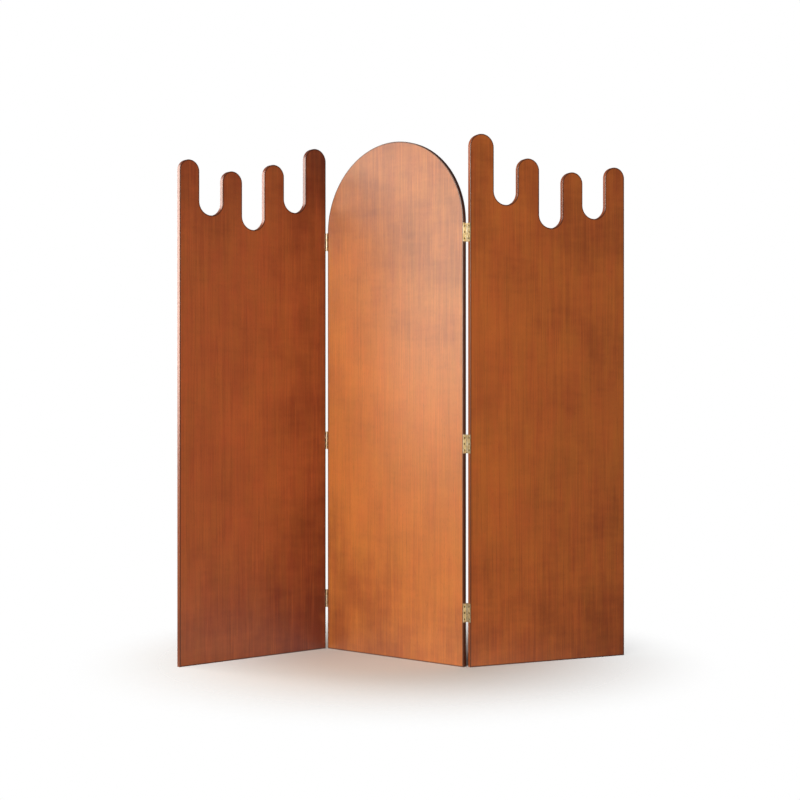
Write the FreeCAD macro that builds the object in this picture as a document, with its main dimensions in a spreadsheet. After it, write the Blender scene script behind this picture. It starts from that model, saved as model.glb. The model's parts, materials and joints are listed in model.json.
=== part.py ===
"""A wooden folding screen: three flat boards that stand in a zigzag, joined by butt hinges.

The centre board has a half-round arch for a top. The outer boards are mirror images of
each other: four round-topped fingers with round-bottomed slots, the tallest finger beside
the centre board. Three brass butt hinges on each fold sit in gains cut across the edges.
The left board folds in front of the centre board and the right board folds behind it.

Millimetres and degrees. +Z is up, the front faces -Y, and the origin is the middle of the
centre board's bottom face. The boards are set at the angles at which the screen stands.
"""
import FreeCAD, Part
import Sketcher
import math
import os

Vector = FreeCAD.Vector
Placement = FreeCAD.Placement
Rotation = FreeCAD.Rotation

X_AXIS = Vector(1, 0, 0)
Y_AXIS = Vector(0, 1, 0)
Z_AXIS = Vector(0, 0, 1)

# Driving dimensions, each a cell of the sheet with its name as the alias
DRIVING_SIZES = {
    # boards
    "panel_height": 1800,
    "panel_width": 600,
    "board_thickness": 18,
    "arris_radius": 2,
    # fingers of an outer board, from its free edge to the fold
    "free_finger_width": 76.5,
    "second_finger_width": 79,
    "third_finger_width": 82.5,
    "tall_finger_width": 89,
    # how far each finger stops below the tall finger
    "free_finger_drop": 85,
    "second_finger_drop": 111,
    "third_finger_drop": 73,
    # slot floors, measured down from the top of the tall finger
    "free_slot_depth": 269,
    "middle_slot_depth": 308,
    "tall_slot_depth": 236,
    # how the screen stands
    "centre_turn": -37.8,
    "left_fold_angle": 75.6,
    "right_fold_angle": 60.6,
    # where the hinges sit on an edge
    "bottom_hinge_height": 182,
    "middle_hinge_height": 752,
    "hinge_to_arch": 1,
    # hinge
    "hinge_length": 63.5,
    "leaf_thickness": 1.5,
    "leaf_setback": 0.5,
    "closed_gap": 2,
    "pin_diameter": 3,
    "pin_clearance": 0.05,
    "pin_chamfer": 0.3,
    "knuckle_standoff": 0.95,
    "knuckle_gap": 0.3,
    "knuckle_notch_clearance": 0.4,
    # screws
    "screw_head_diameter": 6.2,
    "screw_length": 16,
    "screw_point_length": 5,
    "screw_end_distance": 10.75,
    "screw_clearance": 0.05,
    "countersink_lip": 0.2,
    "driver_slot_width": 0.8,
    "driver_slot_depth": 0.9,
    "driver_slot_wall": 0.4,
}
KNUCKLES = 5
CENTRE_KNUCKLES = [0, 2, 4]
OUTER_KNUCKLES = [1, 3]
SCREW_STEPS = [-1, 0, 1]
COUNTERSINK_ANGLE = 90

doc = FreeCAD.newDocument("folding_screen")
sizes = doc.addObject("Spreadsheet::Sheet", "Sizes")
for row, (alias, value) in enumerate(DRIVING_SIZES.items(), start=1):
    sizes.set(f"A{row}", alias)
    sizes.set(f"B{row}", str(value))
    sizes.setAlias(f"B{row}", alias)
doc.recompute()

# Sizes that follow from the sheet, as expressions for the features to bind to
SLOT_WIDTH = ("(Sizes.panel_width - Sizes.free_finger_width - Sizes.second_finger_width"
              " - Sizes.third_finger_width - Sizes.tall_finger_width) / 3")
ARCH_SPRING = "(Sizes.panel_height - Sizes.panel_width / 2)"
MID_THICKNESS = "Sizes.board_thickness / 2"
HALF_GAP = "Sizes.closed_gap / 2"
HALF_HINGE = "Sizes.hinge_length / 2"
KNUCKLE_LENGTH = f"Sizes.hinge_length / {KNUCKLES}"
BORE_RADIUS = "(Sizes.pin_diameter / 2 + Sizes.pin_clearance)"
KNUCKLE_RADIUS = f"({BORE_RADIUS} + Sizes.leaf_thickness)"
PIN_OFFSET = f"({KNUCKLE_RADIUS} + Sizes.knuckle_standoff)"
LEAF_REACH = f"({PIN_OFFSET} + Sizes.board_thickness - Sizes.leaf_setback)"
NOTCH_REACH = f"({KNUCKLE_RADIUS} + Sizes.knuckle_notch_clearance)"
SCREW_PITCH = f"({HALF_HINGE} - Sizes.screw_end_distance)"
SCREW_LINE = f"({PIN_OFFSET} + {MID_THICKNESS})"
HEAD_RADIUS = "Sizes.screw_head_diameter / 2"
HEAD_HEIGHT = "(Sizes.leaf_thickness - Sizes.countersink_lip)"
NECK_RADIUS = f"({HEAD_RADIUS} - {HEAD_HEIGHT})"
HOLE_RADIUS = f"({NECK_RADIUS} + Sizes.screw_clearance)"
COUNTERSINK_RADIUS = f"({HEAD_RADIUS} + Sizes.screw_clearance)"
DRIVER_SLOT_SPAN = f"2 * ({HEAD_RADIUS} - Sizes.driver_slot_depth - Sizes.driver_slot_wall)"
HINGE_HEIGHTS = {
    "top": f"({ARCH_SPRING} - Sizes.hinge_to_arch - {HALF_HINGE})",
    "middle": "Sizes.middle_hinge_height",
    "bottom": "Sizes.bottom_hinge_height",
}


def value_of(expression):
    """The number that an expression of the sheet stands for."""
    result = sizes.evalExpression(expression)
    return float(getattr(result, "Value", result))


# Bodies, sketches and features
def new_body(label):
    body = doc.addObject("PartDesign::Body", label)
    body.Label = label
    return body


def origin_feature(body, role):
    return next(item for item in body.Origin.OriginFeatures if item.Role == role)


def new_sketch(body, name, plane, offset=None):
    """A sketch on one of the body's origin planes, moved along its normal by an expression."""
    sketch = body.newObject("Sketcher::SketchObject", name)
    sketch.AttachmentSupport = [(origin_feature(body, plane), "")]
    sketch.MapMode = "FlatFace"
    if offset:
        sketch.setExpression("AttachmentOffset.Base.z", offset)
    return sketch


def relate(sketch, kind, *references):
    sketch.addConstraint(Sketcher.Constraint(kind, *references))


def dimension(sketch, name, expression, kind, *references):
    """A named driving dimension of a sketch, bound to the sheet."""
    index = sketch.addConstraint(Sketcher.Constraint(kind, *references, value_of(expression)))
    sketch.renameConstraint(index, name)
    sketch.setExpression(f"Constraints.{name}", expression)


def add_line(sketch, start, end):
    return sketch.addGeometry(Part.LineSegment(Vector(*start, 0), Vector(*end, 0)))


def add_arc(sketch, centre, radius, start_angle, end_angle):
    circle = Part.Circle(Vector(*centre, 0), Z_AXIS, radius)
    return sketch.addGeometry(Part.ArcOfCircle(circle, start_angle, end_angle))


def add_circle(sketch, name, x, y, radius):
    """A circle whose centre and radius are expressions of the sheet."""
    centre = Vector(value_of(x), value_of(y), 0)
    circle = sketch.addGeometry(Part.Circle(centre, Z_AXIS, value_of(radius)))
    dimension(sketch, f"{name}_x", x, "DistanceX", -1, 1, circle, 3)
    dimension(sketch, f"{name}_y", y, "DistanceY", -1, 1, circle, 3)
    dimension(sketch, f"{name}_radius", radius, "Radius", circle)


def add_round(sketch, name, radius):
    """A circle about the sketch's own origin."""
    circle = sketch.addGeometry(Part.Circle(Vector(), Z_AXIS, value_of(radius)))
    relate(sketch, "Coincident", circle, 3, -1, 1)
    dimension(sketch, f"{name}_radius", radius, "Radius", circle)


def add_polygon(sketch, corners):
    """Straight sides from corner to corner, joined end to end."""
    count = len(corners)
    sides = [add_line(sketch, corners[i], corners[(i + 1) % count]) for i in range(count)]
    for i in range(count):
        relate(sketch, "Coincident", sides[i], 2, sides[(i + 1) % count], 1)
    return sides


def add_rectangle(sketch, name, left, bottom, width, height):
    """A rectangle whose left, bottom, width and height are expressions of the sheet."""
    x0, y0 = value_of(left), value_of(bottom)
    x1, y1 = x0 + value_of(width), y0 + value_of(height)
    floor, right_side, top, left_side = add_polygon(sketch, [(x0, y0), (x1, y0), (x1, y1), (x0, y1)])
    for side in (floor, top):
        relate(sketch, "Horizontal", side)
    for side in (left_side, right_side):
        relate(sketch, "Vertical", side)
    dimension(sketch, f"{name}_left", left, "DistanceX", -1, 1, floor, 1)
    dimension(sketch, f"{name}_bottom", bottom, "DistanceY", -1, 1, floor, 1)
    dimension(sketch, f"{name}_width", width, "DistanceX", floor, 1, floor, 2)
    dimension(sketch, f"{name}_height", height, "DistanceY", right_side, 1, right_side, 2)


def add_feature(body, kind, name, profile, **expressions):
    """A sketch-based feature whose named properties are bound to expressions."""
    feature = body.newObject(f"PartDesign::{kind}", name)
    feature.Profile = profile
    for property_name, expression in expressions.items():
        feature.setExpression(property_name, expression)
    return feature


def drill(body, name, centres):
    """Holes for the screws' necks at the centres of a sketch's circles."""
    doc.recompute()
    holes = add_feature(body, "Hole", name, centres, Diameter=f"2 * {HOLE_RADIUS}")
    holes.DrillPoint = "Flat"
    return holes


# Boards
def arch_outline(body):
    """Bottom, two straight sides and a half-round top as wide as the board."""
    width = value_of("Sizes.panel_width")
    spring = value_of(ARCH_SPRING)
    sketch = new_sketch(body, "Outline", "XZ_Plane")
    bottom = add_line(sketch, (0, 0), (width, 0))
    right = add_line(sketch, (width, 0), (width, spring))
    arch = add_arc(sketch, (width / 2, spring), width / 2, 0, math.pi)
    left = add_line(sketch, (0, spring), (0, 0))
    relate(sketch, "Coincident", bottom, 1, -1, 1)
    relate(sketch, "Coincident", bottom, 2, right, 1)
    relate(sketch, "Tangent", right, 2, arch, 1)
    relate(sketch, "Tangent", arch, 2, left, 1)
    relate(sketch, "Coincident", left, 2, bottom, 1)
    relate(sketch, "Horizontal", bottom)
    relate(sketch, "Vertical", right)
    relate(sketch, "Vertical", left)
    dimension(sketch, "width", "Sizes.panel_width", "DistanceX", bottom, 1, bottom, 2)
    dimension(sketch, "spring", ARCH_SPRING, "DistanceY", -1, 1, arch, 3)
    return sketch


def fingers_and_slots():
    """Name, width and end height of each finger and slot in turn, from the free edge to the fold."""
    steps = []
    for finger, slot in (("free", "free"), ("second", "middle"), ("third", "tall")):
        finger_top = f"Sizes.panel_height - Sizes.{finger}_finger_drop"
        slot_floor = f"Sizes.panel_height - Sizes.{slot}_slot_depth"
        steps.append((f"{finger}_finger", f"Sizes.{finger}_finger_width", finger_top))
        steps.append((f"{slot}_slot", SLOT_WIDTH, slot_floor))
    steps.append(("tall_finger", "Sizes.tall_finger_width", "Sizes.panel_height"))
    return steps


def finger_outline(body, steps):
    """Bottom, then from the left edge a half-round over each finger and one under each slot."""
    width = value_of("Sizes.panel_width")
    sketch = new_sketch(body, "Outline", "XZ_Plane")
    bottom = add_line(sketch, (width, 0), (0, 0))
    relate(sketch, "Coincident", bottom, 2, -1, 1)
    relate(sketch, "Horizontal", bottom)
    x = 0
    level = 0
    previous_end = (bottom, 2)
    joint = "Coincident"
    for name, step_width, end_height in steps:
        over_finger = name.endswith("finger")
        centre_height = f"{end_height} {'-' if over_finger else '+'} {step_width} / 2"
        centre_level = value_of(centre_height)
        radius = value_of(step_width) / 2
        side = add_line(sketch, (x, level), (x, centre_level))
        start_angle = 0 if over_finger else math.pi
        round_end = add_arc(sketch, (x + radius, centre_level), radius, start_angle, start_angle + math.pi)
        near, far = (2, 1) if over_finger else (1, 2)
        relate(sketch, joint, *previous_end, side, 1)
        relate(sketch, "Vertical", side)
        relate(sketch, "Tangent", side, 2, round_end, near)
        dimension(sketch, f"{name}_centre", centre_height, "DistanceY", -1, 1, round_end, 3)
        dimension(sketch, f"{name}_width", step_width, "DistanceX", round_end, near, round_end, far)
        previous_end = (round_end, far)
        joint = "Tangent"
        x += 2 * radius
        level = centre_level
    last_side = add_line(sketch, (width, level), (width, 0))
    relate(sketch, "Tangent", *previous_end, last_side, 1)
    relate(sketch, "Vertical", last_side)
    relate(sketch, "Coincident", last_side, 2, bottom, 1)
    return sketch


def left_outline(body):
    return finger_outline(body, fingers_and_slots())


def right_outline(body):
    return finger_outline(body, fingers_and_slots()[::-1])


def cut_hinge_seats(body, side):
    """Gains across one edge, each as deep as a leaf is thick, and the screw holes in their floors."""
    edge = {"left": "0", "right": "Sizes.panel_width"}[side]
    gain_left = {"left": "0", "right": "Sizes.panel_width - Sizes.leaf_thickness"}[side]
    gains = new_sketch(body, f"{side}_gain_outlines", "XZ_Plane")
    centres = new_sketch(body, f"{side}_hole_centres", "YZ_Plane", edge)
    for level, height in HINGE_HEIGHTS.items():
        add_rectangle(gains, level, gain_left, f"{height} - {HALF_HINGE}",
                      "Sizes.leaf_thickness", "Sizes.hinge_length")
        for step in SCREW_STEPS:
            add_circle(centres, f"{level}_screw_{step + 1}", MID_THICKNESS,
                       f"{height} + {step} * {SCREW_PITCH}", HOLE_RADIUS)
    add_feature(body, "Pocket", f"{side}_gains", gains, Length="Sizes.board_thickness")
    holes = drill(body, f"{side}_screw_holes", centres)
    holes.Reversed = side == "left"
    holes.setExpression("Depth", "Sizes.screw_length + Sizes.screw_clearance")
    doc.recompute()


def make_board(label, outline, hinged_sides):
    """A board in its own frame: left bottom corner of the front face at the origin, back at +Y."""
    body = new_body(label)
    board = add_feature(body, "Pad", "board", outline(body), Length="Sizes.board_thickness")
    board.Reversed = True
    doc.recompute()
    broad_faces = [f"Face{number}" for number, face in enumerate(board.Shape.Faces, start=1)
                   if abs(face.normalAt(0, 0).y) > 0.5]
    arris = body.newObject("PartDesign::Fillet", "arris")
    arris.Base = (board, broad_faces)
    arris.setExpression("Radius", "Sizes.arris_radius")
    doc.recompute()
    for side in hinged_sides:
        cut_hinge_seats(body, side)
    return body


# Hinge pieces, each in the hinge's frame: the pin on Z at mid height and the leaf towards -Y
def leaf_section(body):
    """Plan of a leaf: a plate at one side of the pin that runs into the knuckle rolled round it."""
    inner_x = -value_of(HALF_GAP)
    outer_x = inner_x - value_of("Sizes.leaf_thickness")
    reach = value_of(LEAF_REACH)
    radius = value_of(KNUCKLE_RADIUS)
    start_angle = math.pi + math.acos(-inner_x / radius)
    end_angle = 3 * math.pi + math.acos(-outer_x / radius)
    sketch = new_sketch(body, "section", "XY_Plane", f"-{HALF_HINGE}")
    inner_face = add_line(sketch, (inner_x, -reach), (inner_x, radius * math.sin(start_angle)))
    knuckle = add_arc(sketch, (0, 0), radius, start_angle, end_angle)
    outer_face = add_line(sketch, (outer_x, radius * math.sin(end_angle)), (outer_x, -reach))
    plate_edge = add_line(sketch, (outer_x, -reach), (inner_x, -reach))
    relate(sketch, "Coincident", knuckle, 3, -1, 1)
    relate(sketch, "Coincident", inner_face, 2, knuckle, 1)
    relate(sketch, "Coincident", knuckle, 2, outer_face, 1)
    relate(sketch, "Coincident", outer_face, 2, plate_edge, 1)
    relate(sketch, "Coincident", plate_edge, 2, inner_face, 1)
    relate(sketch, "Vertical", inner_face)
    relate(sketch, "Vertical", outer_face)
    relate(sketch, "Horizontal", plate_edge)
    dimension(sketch, "knuckle_radius", KNUCKLE_RADIUS, "Radius", knuckle)
    dimension(sketch, "half_gap", HALF_GAP, "DistanceX", inner_face, 1, -1, 1)
    dimension(sketch, "thickness", "Sizes.leaf_thickness", "DistanceX", plate_edge, 1, plate_edge, 2)
    dimension(sketch, "reach", LEAF_REACH, "DistanceY", inner_face, 1, -1, 1)
    add_round(sketch, "bore", BORE_RADIUS)
    return sketch


def make_leaf(label, own_knuckles):
    """A leaf that keeps the knuckles in its list and is notched for those of the other leaf."""
    body = new_body(label)
    add_feature(body, "Pad", "rolled_plate", leaf_section(body), Length="Sizes.hinge_length")
    outlines = new_sketch(body, "notch_outlines", "YZ_Plane")
    for number in range(KNUCKLES):
        if number not in own_knuckles:
            bottom = f"{KNUCKLE_LENGTH} * {number} - {HALF_HINGE} - Sizes.knuckle_gap / 2"
            add_rectangle(outlines, f"notch_{number}", f"-{NOTCH_REACH}", bottom,
                          f"2 * {NOTCH_REACH}", f"{KNUCKLE_LENGTH} + Sizes.knuckle_gap")
    notches = add_feature(body, "Pocket", "notches", outlines, Length=f"2 * {NOTCH_REACH}")
    notches.SideType = "Symmetric"

    centres = new_sketch(body, "hole_centres", "YZ_Plane", f"-{HALF_GAP}")
    for step in SCREW_STEPS:
        add_circle(centres, f"screw_{step + 1}", f"-{SCREW_LINE}", f"{step} * {SCREW_PITCH}", HOLE_RADIUS)
    holes = drill(body, "screw_holes", centres)
    holes.DepthType = "ThroughAll"
    holes.HoleCutType = "Countersink"
    holes.HoleCutCustomValues = True
    holes.HoleCutCountersinkAngle = COUNTERSINK_ANGLE
    holes.setExpression("HoleCutDiameter", f"2 * {COUNTERSINK_RADIUS}")
    doc.recompute()
    return body


def make_centre_leaf(label):
    return make_leaf(label, CENTRE_KNUCKLES)


def make_outer_leaf(label):
    return make_leaf(label, OUTER_KNUCKLES)


def make_pin(label):
    """A plain pin, flush with the end knuckles, with its two ends broken."""
    body = new_body(label)
    section = new_sketch(body, "section", "XY_Plane", f"-{HALF_HINGE}")
    add_round(section, "pin", "Sizes.pin_diameter / 2")
    rod = add_feature(body, "Pad", "rod", section, Length="Sizes.hinge_length")
    doc.recompute()
    rims = [f"Edge{number}" for number, edge in enumerate(rod.Shape.Edges, start=1) if edge.isClosed()]
    broken_ends = body.newObject("PartDesign::Chamfer", "broken_ends")
    broken_ends.Base = (rod, rims)
    broken_ends.setExpression("Size", "Sizes.pin_chamfer")
    return body


def turned_screw(body):
    """The lowest screw of the row: countersunk head at x = 0, straight shank, point towards -X."""
    neck_radius = value_of(NECK_RADIUS)
    length = value_of("Sizes.screw_length")
    shoulder = length - value_of("Sizes.screw_point_length")
    profile = new_sketch(body, "profile", "XY_Plane", f"-{SCREW_PITCH}")
    top, cone, shank, point, axis = add_polygon(profile, [
        (0, 0), (0, value_of(HEAD_RADIUS)), (-value_of(HEAD_HEIGHT), neck_radius),
        (-shoulder, neck_radius), (-length, 0)])
    relate(profile, "Coincident", top, 1, -1, 1)
    relate(profile, "Vertical", top)
    relate(profile, "Horizontal", shank)
    relate(profile, "Horizontal", axis)
    dimension(profile, "head_radius", HEAD_RADIUS, "DistanceY", top, 1, top, 2)
    dimension(profile, "head_height", HEAD_HEIGHT, "DistanceX", cone, 2, cone, 1)
    dimension(profile, "neck_radius", NECK_RADIUS, "DistanceY", axis, 2, cone, 2)
    dimension(profile, "length", "Sizes.screw_length", "DistanceX", axis, 1, axis, 2)
    dimension(profile, "point_length", "Sizes.screw_point_length", "DistanceX", point, 2, point, 1)
    screw = add_feature(body, "Revolution", "turned_screw", profile)
    screw.ReferenceAxis = (profile, ["H_Axis"])
    return screw


def make_screws(label):
    """The screws of one leaf, in a row along Z, each with a cross slot for the driver."""
    body = new_body(label)
    features = [turned_screw(body)]
    arms = {"level_slot": (DRIVER_SLOT_SPAN, "Sizes.driver_slot_width"),
            "upright_slot": ("Sizes.driver_slot_width", DRIVER_SLOT_SPAN)}
    for name, (across, up) in arms.items():
        outline = new_sketch(body, f"{name}_outline", "YZ_Plane")
        add_rectangle(outline, name, f"-{across} / 2", f"-{SCREW_PITCH} - {up} / 2", across, up)
        features.append(add_feature(body, "Pocket", name, outline, Length="Sizes.driver_slot_depth"))
    doc.recompute()
    row_of_screws = body.newObject("PartDesign::LinearPattern", "row")
    row_of_screws.Originals = features
    row_of_screws.Direction = (origin_feature(body, "Z_Axis"), [""])
    row_of_screws.setExpression("Length", f"2 * {SCREW_PITCH}")
    row_of_screws.Occurrences = len(SCREW_STEPS)
    body.Tip = row_of_screws
    return body


# Where the boards stand and where the two folds turn
def turned_about(point, angle):
    return Placement(point, Rotation(Z_AXIS, angle))


def shifted(x, y):
    return Placement(Vector(x, y, 0), Rotation())


half_gap = value_of(HALF_GAP)
pin_offset = value_of(PIN_OFFSET)
panel_width = value_of("Sizes.panel_width")
thickness = value_of("Sizes.board_thickness")
centre_turn = value_of("Sizes.centre_turn")
left_turn = centre_turn + value_of("Sizes.left_fold_angle")
right_turn = centre_turn + value_of("Sizes.right_fold_angle")

centre_place = turned_about(Vector(), centre_turn) * shifted(-panel_width / 2, -thickness / 2)
left_pin = centre_place.multVec(Vector(-half_gap, -pin_offset, 0))
right_pin = centre_place.multVec(Vector(panel_width + half_gap, thickness + pin_offset, 0))
left_place = turned_about(left_pin, left_turn) * shifted(-panel_width - half_gap, pin_offset)
right_place = turned_about(right_pin, right_turn) * shifted(half_gap, -thickness - pin_offset)

subparts = {}


def stand(body, place):
    body.Placement = place
    subparts[body.Label] = body


stand(make_board("centre_panel", arch_outline, ["left", "right"]), centre_place)
stand(make_board("left_panel", left_outline, ["right"]), left_place)
stand(make_board("right_panel", right_outline, ["left"]), right_place)

# The right fold has its pin behind the boards and the left fold in front of them, so the left
# fold's leaves are turned half round. A leaf flipped end for end serves the board across the pin.
folds = {
    "left": (left_pin, left_turn, Rotation(Z_AXIS, 180), Rotation(X_AXIS, 180)),
    "right": (right_pin, right_turn, Rotation(), Rotation(Y_AXIS, 180)),
}
screw_seat = shifted(-half_gap, -value_of(SCREW_LINE))
for fold, (pin, outer_turn, centre_flip, outer_flip) in folds.items():
    for level, height in HINGE_HEIGHTS.items():
        hinge = f"{fold}_{level}_hinge"
        middle = pin + Vector(0, 0, value_of(height))
        centre_side = turned_about(middle, centre_turn) * Placement(Vector(), centre_flip)
        outer_side = turned_about(middle, outer_turn) * Placement(Vector(), outer_flip)
        stand(make_centre_leaf(f"{hinge}_centre_leaf"), centre_side)
        stand(make_outer_leaf(f"{hinge}_outer_leaf"), outer_side)
        stand(make_pin(f"{hinge}_pin"), centre_side)
        stand(make_screws(f"{hinge}_centre_screws"), centre_side * screw_seat)
        stand(make_screws(f"{hinge}_outer_screws"), outer_side * screw_seat)
doc.recompute()

# Every feature has to be sound, every cut has to remove something and every node has to be whole
for item in doc.Objects:
    if {"Invalid", "Error"} & set(item.State):
        raise RuntimeError(f"{item.Name} failed: {item.State}")
    cuts = item.TypeId in ("PartDesign::Pocket", "PartDesign::Hole")
    if cuts and item.Shape.Volume >= item.BaseFeature.Shape.Volume:
        raise RuntimeError(f"{item.Name} cuts nothing")
for label, body in subparts.items():
    solids = len(SCREW_STEPS) if label.endswith("screws") else 1
    if body.Shape.isNull() or not body.Shape.isValid() or len(body.Shape.Solids) != solids:
        raise RuntimeError(f"{label} is not {solids} sound solid(s)")

os.makedirs("parts", exist_ok=True)
for label, body in subparts.items():
    body.Shape.exportStep(f"parts/{label}.step")
print(f"{len(subparts)} sub-parts, left pin at {left_pin}, right pin at {right_pin}")
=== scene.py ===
# %% [markdown]
# # A wooden folding screen
# Three stained and varnished boards stand in a zigzag, joined by brass butt hinges. The hinges,
# their pins and the places of the boards come from the construction model, which is loaded first
# and never moved. This lesson dresses it: the boards and the hinge pieces are modelled again with
# soft edges and clean faces, and wood, varnish and brass are built from nodes.

# %% Load the construction model
import json
import math
import random

import bmesh
import bpy
from mathutils import Matrix, Vector


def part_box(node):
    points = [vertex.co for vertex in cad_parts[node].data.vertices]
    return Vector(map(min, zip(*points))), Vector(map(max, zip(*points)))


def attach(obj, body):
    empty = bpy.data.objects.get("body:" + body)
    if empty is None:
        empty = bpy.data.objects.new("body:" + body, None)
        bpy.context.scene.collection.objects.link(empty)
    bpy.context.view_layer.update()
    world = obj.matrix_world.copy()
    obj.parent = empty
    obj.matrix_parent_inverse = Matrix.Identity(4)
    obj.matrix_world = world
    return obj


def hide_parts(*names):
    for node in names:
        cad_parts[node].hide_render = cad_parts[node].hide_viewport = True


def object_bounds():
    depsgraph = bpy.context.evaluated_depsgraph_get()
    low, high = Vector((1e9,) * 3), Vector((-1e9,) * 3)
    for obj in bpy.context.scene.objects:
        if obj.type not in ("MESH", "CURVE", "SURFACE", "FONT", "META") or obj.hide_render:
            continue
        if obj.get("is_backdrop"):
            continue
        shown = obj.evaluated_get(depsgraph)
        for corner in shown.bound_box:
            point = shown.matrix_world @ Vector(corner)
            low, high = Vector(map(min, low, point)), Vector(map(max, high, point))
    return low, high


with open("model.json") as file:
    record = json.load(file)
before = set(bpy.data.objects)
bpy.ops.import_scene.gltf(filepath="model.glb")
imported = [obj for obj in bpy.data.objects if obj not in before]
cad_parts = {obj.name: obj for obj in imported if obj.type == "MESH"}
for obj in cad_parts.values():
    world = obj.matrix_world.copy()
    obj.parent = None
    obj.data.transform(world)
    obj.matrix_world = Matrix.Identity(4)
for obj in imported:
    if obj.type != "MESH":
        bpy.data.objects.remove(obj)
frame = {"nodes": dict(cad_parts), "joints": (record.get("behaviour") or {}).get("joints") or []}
cad_low, cad_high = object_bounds()
bpy.ops.object.select_all(action="DESELECT")
print("nodes:", len(frame["nodes"]), "box:", [round(side, 3) for side in cad_high - cad_low])

# %% [markdown]
# ## Sizes
# Blender works in metres, and a joiner thinks in millimetres, so one small value turns one into the
# other. The height, the fold angles and the hinge pins are read from the loaded model. The sizes
# that a box can't tell, such as the width of a finger, are written here once.

# %% Sizes of the boards
MM = 0.001
TINY = 0.01 * MM

PANEL_HEIGHT = cad_high.z - cad_low.z
PANEL_WIDTH = 600 * MM
THICKNESS = 18 * MM
ARRIS = 2 * MM
FINGER_WIDTHS = [76.5 * MM, 79 * MM, 82.5 * MM, 89 * MM]
FINGER_DROPS = [85 * MM, 111 * MM, 73 * MM, 0]
SLOT_DEPTHS = [269 * MM, 308 * MM, 236 * MM]
SLOT_WIDTH = (PANEL_WIDTH - sum(FINGER_WIDTHS)) / len(SLOT_DEPTHS)
print("board", round(PANEL_WIDTH, 4), "by", round(PANEL_HEIGHT, 4), "slot", round(SLOT_WIDTH, 4))

# %% Where the boards stand
PIN_OFFSET = 4 * MM
HALF_GAP = 1 * MM

joints = {joint["name"]: joint for joint in frame["joints"]}
left_pin = Vector(joints["left_fold"]["pos_m"])
right_pin = Vector(joints["right_fold"]["pos_m"])
# From pin to pin, first in the centre board's own plan and then in the scene. The angle between
# the two is the turn of the centre board. At its lower limit a fold is in line with that board.
pin_to_pin = Vector((PANEL_WIDTH + 2 * HALF_GAP, THICKNESS + 2 * PIN_OFFSET))
across = right_pin - left_pin
centre_turn = math.atan2(across.y, across.x) - math.atan2(pin_to_pin.y, pin_to_pin.x)
left_turn = centre_turn - math.radians(joints["left_fold"]["range_deg"][0])
right_turn = centre_turn - math.radians(joints["right_fold"]["range_deg"][0])


def place_about(pin, turn, pin_x, pin_y):
    """The place of a board whose hinge pin stands at (pin_x, pin_y) in the board's own plan."""
    turned = Matrix.Rotation(turn, 4, "Z")
    return Matrix.Translation(pin) @ turned @ Matrix.Translation((-pin_x, -pin_y, 0))


BOARD_PLACES = {
    "centre": place_about(left_pin, centre_turn, -HALF_GAP, -PIN_OFFSET),
    "left": place_about(left_pin, left_turn, PANEL_WIDTH + HALF_GAP, -PIN_OFFSET),
    "right": place_about(right_pin, right_turn, -HALF_GAP, THICKNESS + PIN_OFFSET),
}
BOARD_TURNS = {"centre": centre_turn, "left": left_turn, "right": right_turn}
print("turns:", {name: round(math.degrees(turn), 1) for name, turn in BOARD_TURNS.items()})

# %% [markdown]
# ## Camera
# The picture was taken level, from a little over five metres away, with the lens at about half the
# height of the boards: uprights stay upright and the bottoms of the boards show their zigzag. The
# camera could be tilted until the screen fits, but then the uprights would lean, so it stays level.
# The focal length is given in pixels of the 800 pixel picture, and the horizon lies a little above
# the middle, which the small vertical shift gives.

# %% Camera
PICTURE = 800
FOCAL_PIXELS = 1505.9
HORIZON_PIXEL = 386.8
SENSOR_WIDTH = 36
CAMERA_PLACE = Vector((18.8 * MM, -5264 * MM, 945 * MM))
LEVEL = math.radians(90)

camera_data = bpy.data.cameras.new("camera")
camera_data.sensor_width = SENSOR_WIDTH
camera_data.lens = SENSOR_WIDTH * FOCAL_PIXELS / PICTURE
camera_data.shift_y = (HORIZON_PIXEL - PICTURE / 2) / PICTURE
camera = bpy.data.objects.new("camera", camera_data)
camera.location = CAMERA_PLACE
camera.rotation_euler = (LEVEL, 0, 0)
bpy.context.scene.collection.objects.link(camera)
bpy.context.scene.camera = camera
print("lens", round(camera_data.lens, 2), "mm, shift", round(camera_data.shift_y, 4))

# %% [markdown]
# ## Helpers for nodes
# A material is a small graph. One function adds any node, sets its options and either fills or
# links its inputs, so that a finish reads from top to bottom. Colours are written as they look on
# a screen, in hex, and one function turns them to the linear values that the renderer works with.

# %% Node and colour helpers
def add(tree, kind, options=None, inputs=None, stops=None):
    """Adds a node. Inputs are values, or sockets of other nodes, by name or by number.

    A colour ramp also takes its stops, each a place on the ramp and a linear colour.
    """
    node = tree.nodes.new(kind)
    for name, value in (options or {}).items():
        setattr(node, name, value)
    for key, value in (inputs or {}).items():
        if isinstance(value, bpy.types.NodeSocket):
            tree.links.new(value, node.inputs[key])
        else:
            node.inputs[key].default_value = value
    if stops:
        elements = node.color_ramp.elements
        while len(elements) < len(stops):
            elements.new(0.5)
        for element, (place, hue) in zip(elements, stops):
            element.position = place
            element.color = hue
    return node


def colour(hex_code):
    """A screen colour such as #B05A2C as linear red, green, blue and alpha."""
    screen = [int(hex_code[i:i + 2], 16) / 255 for i in (1, 3, 5)]
    return [c / 12.92 if c <= 0.04045 else ((c + 0.055) / 1.055) ** 2.4 for c in screen] + [1]


def new_material(name):
    """A material with no nodes yet, and its tree."""
    material = bpy.data.materials.new(name)
    material.use_nodes = True
    material.node_tree.nodes.clear()
    return material, material.node_tree


print("half bright on a screen is", round(colour("#808080")[0], 3), "in linear light")

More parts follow.
